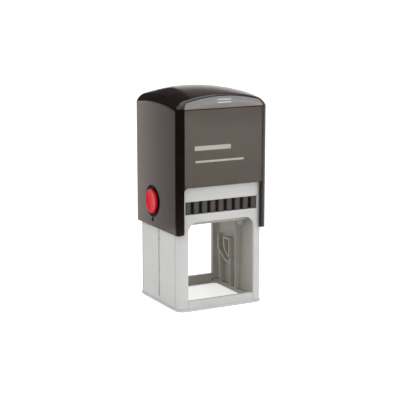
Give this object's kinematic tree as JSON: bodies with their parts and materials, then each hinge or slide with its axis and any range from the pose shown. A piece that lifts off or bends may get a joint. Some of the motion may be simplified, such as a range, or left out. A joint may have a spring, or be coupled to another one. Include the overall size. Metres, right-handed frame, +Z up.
{
  "type": "self-inking stamp",
  "caption": "Square self-inking hand stamp: grey base frame, sprung black cap, and a platen that turns over from the ink pad to the paper as the cap is pressed.",
  "frame": {"origin": "middle of the base's footprint, on the surface the stamp stands on", "axes": "+X to the stamp's right seen from the front, +Y from the front face towards the back, +Z up along the cap's travel; the front, with the label and the grooved end of the ink tray, faces -Y"},
  "size_m": [0.058, 0.0564, 0.1206],
  "materials": {
    "grey_plastic": "fine satin moulding",
    "black_gloss": "polished moulding",
    "black_matt": "satin moulding",
    "red_plastic": "polished moulding",
    "clear_plastic": "clear polished moulding",
    "label_card": "dark printed card",
    "steel": "drawn wire and ground pin",
    "rubber": "laser-cut rubber",
    "foam": "closed-cell foam",
    "ink_felt": "inked felt"
  },
  "bodies": {
    "base": {"base_frame": "grey_plastic", "foot_ring": "grey_plastic", "ink_tray": "black_matt", "ink_pad": "ink_felt", "left_spring": "steel", "right_spring": "steel"},
    "cap": {"cap_shell": "black_gloss", "front_cover": "clear_plastic", "rear_cover": "clear_plastic", "front_label": "label_card", "rear_label": "label_card", "bridge": "grey_plastic"},
    "platen": {"platen": "grey_plastic", "platen_axle": "steel", "plate_cushion": "foam", "text_plate": "rubber"},
    "left_button": {"left_lock_button": "red_plastic"},
    "right_button": {"right_lock_button": "red_plastic"}
  },
  "joints": [
    {"name": "cap_press", "type": "slide", "parent": "base", "child": "cap", "axis": [0, 0, -1], "range_m": [0, 0.04], "stiffness_N_per_m": 200, "springref_m": -0.02, "deforming": ["left_spring", "right_spring"]},
    {"name": "platen_flip", "type": "hinge", "parent": "cap", "child": "platen", "pos_m": [0, 0, 0.0465], "axis": [1, 0, 0], "range_deg": [0, 180.5]},
    {"name": "left_lock_press", "type": "slide", "parent": "cap", "child": "left_button", "axis": [1, 0, 0], "range_m": [0, 0.0006], "stiffness_N_per_m": 400, "springref_m": -0.001},
    {"name": "right_lock_press", "type": "slide", "parent": "cap", "child": "right_button", "axis": [-1, 0, 0], "range_m": [0, 0.0006], "stiffness_N_per_m": 400, "springref_m": -0.001}
  ],
  "couplings": [
    {"joint": "platen_flip", "follows": "cap_press", "rad_per_m": 78.54}
  ]
}
